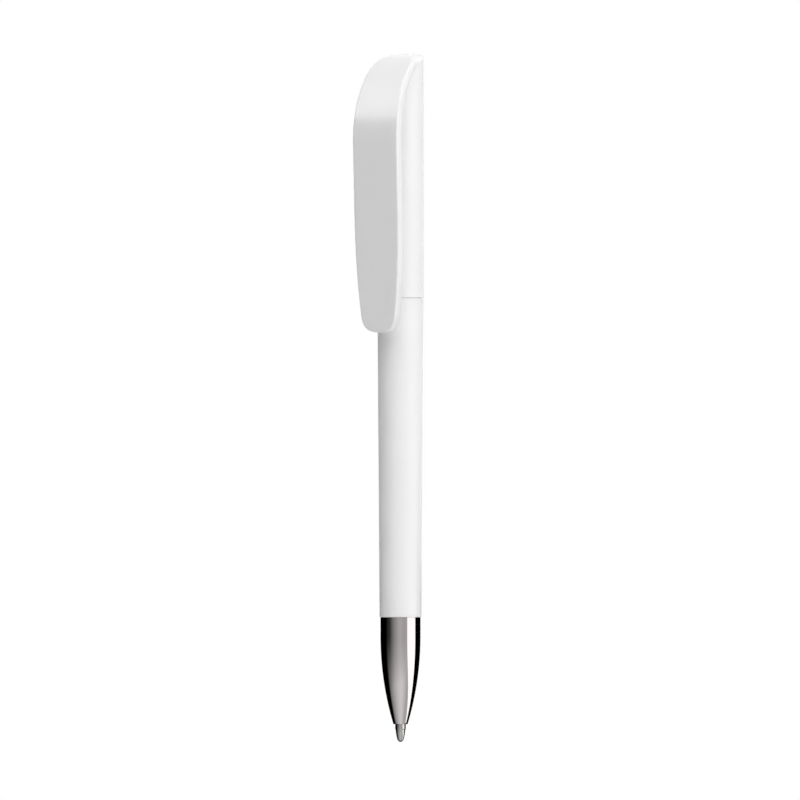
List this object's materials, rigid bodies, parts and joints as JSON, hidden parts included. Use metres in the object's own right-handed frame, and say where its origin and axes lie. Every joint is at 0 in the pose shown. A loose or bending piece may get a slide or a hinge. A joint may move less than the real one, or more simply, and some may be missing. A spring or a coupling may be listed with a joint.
{
  "type": "ballpoint pen",
  "caption": "Slim white twist-action ballpoint pen with a chrome nose cone, its point out, and a broad flat clip that curves over the pen's slanted top.",
  "frame": {"origin": "on the pen's axis, in the plane where the nose cone meets the lower barrel, where fingers or a holder grip the pen", "axes": "+Z along the pen's axis away from the point, -Y towards the clip, +X to the right seen from the clip's side"},
  "size_m": [0.0118, 0.013, 0.14],
  "materials": {
    "white_abs": "white ABS, moulded and polished to a gloss",
    "chrome_plate": "bright chrome plate",
    "acetal": "natural acetal, moulded, slightly waxy",
    "nitrile_rubber": "black nitrile rubber",
    "steel": "drawn steel wire and pin",
    "polypropylene": "milky polypropylene",
    "ballpoint_ink": "blue ballpoint ink paste",
    "nickel_silver": "turned nickel silver, bright",
    "tungsten_carbide": "polished tungsten carbide"
  },
  "bodies": {
    "grip_half": {"nose_cone": "chrome_plate", "lower_barrel": "white_abs", "guide_tube": "acetal", "retaining_cap": "acetal", "friction_ring": "nitrile_rubber", "return_spring": "steel"},
    "twist_half": {"upper_barrel": "white_abs", "clip_head": "white_abs", "cam_sleeve": "acetal"},
    "clip": {"clip_blade": "white_abs"},
    "refill": {"plunger": "acetal", "follower_pin": "steel", "refill_tube": "polypropylene", "refill_plug": "polypropylene", "ink_column": "ballpoint_ink", "tip_adapter": "polypropylene", "refill_point": "nickel_silver"},
    "ball": {"writing_ball": "tungsten_carbide"}
  },
  "joints": [
    {"name": "twist", "type": "hinge", "parent": "grip_half", "child": "twist_half", "pos_m": [0, 0, 0], "axis": [0, 0, 1], "range_deg": [0, 180]},
    {"name": "refill_slide", "type": "slide", "parent": "grip_half", "child": "refill", "axis": [0, 0, 1], "range_m": [0, 0.005], "stiffness_N_per_m": 150, "springref_m": 0.01, "deforming": ["return_spring"]},
    {"name": "clip_flex", "type": "hinge", "parent": "twist_half", "child": "clip", "pos_m": [0, -0.00801, 0.10064], "axis": [-1, 0, 0], "range_deg": [0, 4], "stiffness_Nm_per_rad": 3},
    {"name": "ball_roll", "type": "hinge", "parent": "refill", "child": "ball", "pos_m": [0, 0, -0.02492], "axis": [1, 0, 0], "continuous": true}
  ],
  "couplings": [
    {"joint": "twist", "follows": "refill_slide", "rad_per_m": 628.32}
  ]
}
